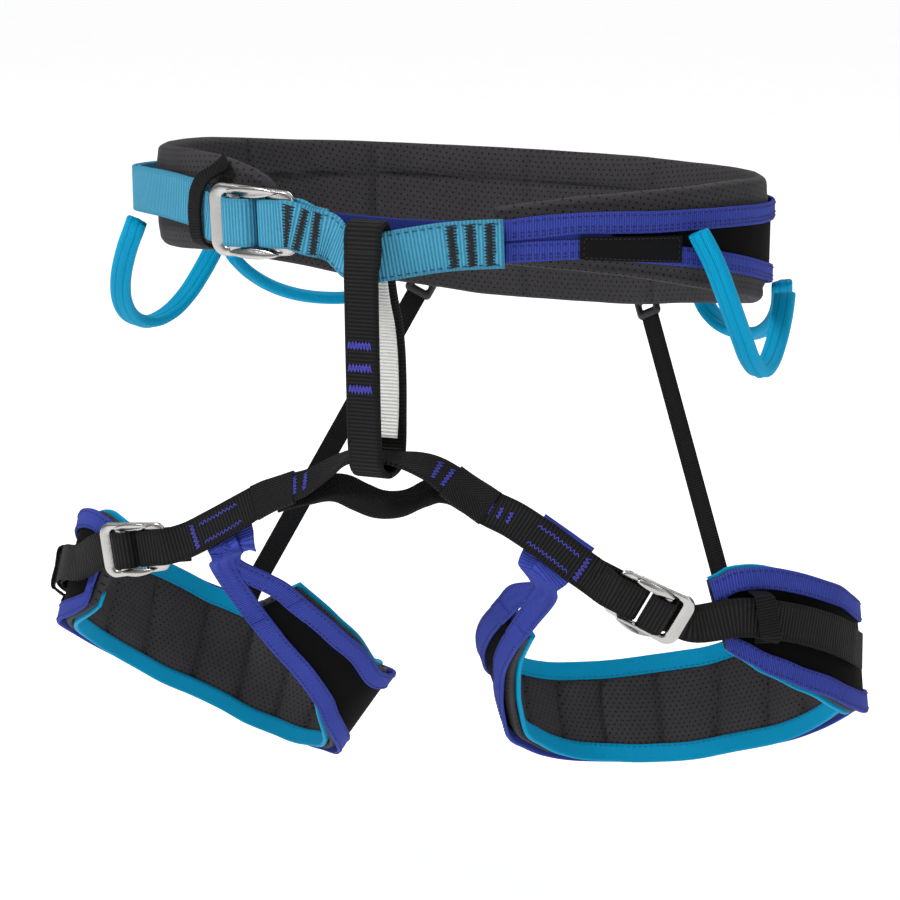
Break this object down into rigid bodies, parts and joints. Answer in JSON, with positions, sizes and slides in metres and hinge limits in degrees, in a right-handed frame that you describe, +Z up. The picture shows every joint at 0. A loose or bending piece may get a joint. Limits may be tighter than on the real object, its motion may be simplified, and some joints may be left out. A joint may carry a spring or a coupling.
{
  "type": "climbing harness",
  "caption": "Sport climbing harness with padded waist belt, belay loop, adjustable leg loops, slide-block buckles, gear loops and rear elastic risers.",
  "frame": {"origin": "centre of the waist opening, at the height of the waist belt's front webbing, on the mid surface of the belt in plan", "axes": "+Z up along the wearer's spine, -Y towards the wearer's front where the belay loop is, +X towards the wearer's left"},
  "size_m": [0.3771, 0.2539, 0.3109],
  "materials": {
    "foam_fabric": "dark charcoal perforated mesh over foam",
    "black_fabric": "black woven fabric",
    "indigo_webbing": "indigo ribbed webbing",
    "cyan_webbing": "light cyan ribbed webbing",
    "gear_loop_cyan": "saturated cyan moulded cover",
    "teal_binding": "teal binding tape",
    "black_webbing": "black ribbed webbing",
    "white_webbing": "white webbing",
    "polished_steel": "polished stamped metal",
    "black_plastic": "moulded black"
  },
  "bodies": {
    "waist": {"waist_pad": "foam_fabric", "waist_outer_panel": "black_fabric", "waist_tape_upper": "indigo_webbing", "waist_tape_lower": "indigo_webbing", "waist_label": "black_fabric", "tie_in_front": "cyan_webbing", "tie_in_rear": "indigo_webbing", "waist_buckle_frame": "polished_steel", "waist_strap": "cyan_webbing", "waist_strap_keeper": "black_webbing", "riser_hook_right": "black_plastic", "riser_hook_left": "black_plastic", "riser_right": "black_webbing", "riser_left": "black_webbing"},
    "waist_buckle_block": {"waist_buckle_slide": "polished_steel"},
    "front_left_gear_loop": {"gear_loop_front_left": "gear_loop_cyan"},
    "front_right_gear_loop": {"gear_loop_front_right": "gear_loop_cyan"},
    "rear_left_gear_loop": {"gear_loop_rear_left": "gear_loop_cyan"},
    "rear_right_gear_loop": {"gear_loop_rear_right": "gear_loop_cyan"},
    "haul": {"haul_loop": "black_webbing"},
    "belay": {"belay_loop": "black_webbing", "belay_loop_liner": "white_webbing", "bridge_upper": "black_webbing", "bridge_lower": "black_webbing"},
    "right_leg": {"leg_pad_right": "foam_fabric", "leg_outer_right": "black_fabric", "leg_tape_upper_right": "indigo_webbing", "leg_tape_lower_right": "indigo_webbing", "leg_binding_upper_right": "teal_binding", "leg_binding_lower_right": "teal_binding", "leg_arm_right": "black_webbing", "leg_front_tab_right": "indigo_webbing", "leg_buckle_right_frame": "polished_steel", "leg_strap_right": "black_webbing", "leg_keeper_right": "black_webbing"},
    "left_leg": {"leg_pad_left": "foam_fabric", "leg_outer_left": "black_fabric", "leg_tape_upper_left": "indigo_webbing", "leg_tape_lower_left": "indigo_webbing", "leg_binding_upper_left": "teal_binding", "leg_binding_lower_left": "teal_binding", "leg_arm_left": "black_webbing", "leg_front_tab_left": "indigo_webbing", "leg_buckle_left_frame": "polished_steel", "leg_strap_left": "black_webbing", "leg_keeper_left": "black_webbing"},
    "right_buckle_block": {"leg_buckle_right_slide": "polished_steel"},
    "left_buckle_block": {"leg_buckle_left_slide": "polished_steel"}
  },
  "joints": [
    {"name": "waist_buckle_slide", "type": "slide", "parent": "waist", "child": "waist_buckle_block", "axis": [0.9758, -0.2152, 0.04], "range_m": [0, 0.0035]},
    {"name": "gear_front_left_swing", "type": "hinge", "parent": "waist", "child": "front_left_gear_loop", "pos_m": [0.1331, -0.01725, -0.0021], "axis": [-0.1749, -0.8897, 0.4217], "range_deg": [0, 65], "stiffness_Nm_per_rad": 0.05},
    {"name": "gear_rear_left_swing", "type": "hinge", "parent": "waist", "child": "rear_left_gear_loop", "pos_m": [0.1097, 0.07375, -0.0311], "axis": [0.6529, -0.7192, 0.2377], "range_deg": [0, 65], "stiffness_Nm_per_rad": 0.05},
    {"name": "gear_front_right_swing", "type": "hinge", "parent": "waist", "child": "front_right_gear_loop", "pos_m": [-0.1361, -0.0045, -0.0101], "axis": [-0.0484, 0.9576, -0.2841], "range_deg": [0, 65], "stiffness_Nm_per_rad": 0.05},
    {"name": "gear_rear_right_swing", "type": "hinge", "parent": "waist", "child": "rear_right_gear_loop", "pos_m": [-0.10615, 0.0783, -0.0361], "axis": [0.7154, 0.6684, -0.2033], "range_deg": [0, 65], "stiffness_Nm_per_rad": 0.05},
    {"name": "haul_loop_swing", "type": "hinge", "parent": "waist", "child": "haul", "pos_m": [0, 0.1134, 0.008], "axis": [1, 0, 0], "range_deg": [0, 60], "stiffness_Nm_per_rad": 0.02},
    {"name": "belay_swing", "type": "hinge", "parent": "waist", "child": "belay", "pos_m": [0.005, -0.12, 0.0062], "axis": [1, 0, 0], "range_deg": [-8, 3.5], "stiffness_Nm_per_rad": 6, "springref_deg": 1.23, "deforming": ["riser_right", "riser_left"]},
    {"name": "right_leg_swing", "type": "hinge", "parent": "belay", "child": "right_leg", "pos_m": [-0.0435, -0.1082, -0.0995], "axis": [1, 0, 0], "range_deg": [-10, 10], "stiffness_Nm_per_rad": 3, "springref_deg": 1.04},
    {"name": "left_leg_swing", "type": "hinge", "parent": "belay", "child": "left_leg", "pos_m": [0.044, -0.1072, -0.0918], "axis": [1, 0, 0], "range_deg": [-10, 10], "stiffness_Nm_per_rad": 3, "springref_deg": 1.04},
    {"name": "right_buckle_slide", "type": "slide", "parent": "right_leg", "child": "right_buckle_block", "axis": [0.9736, -0.112, 0.1989], "range_m": [0, 0.0012]},
    {"name": "left_buckle_slide", "type": "slide", "parent": "left_leg", "child": "left_buckle_block", "axis": [-0.8601, -0.24, 0.4501], "range_m": [0, 0.0012]}
  ]
}
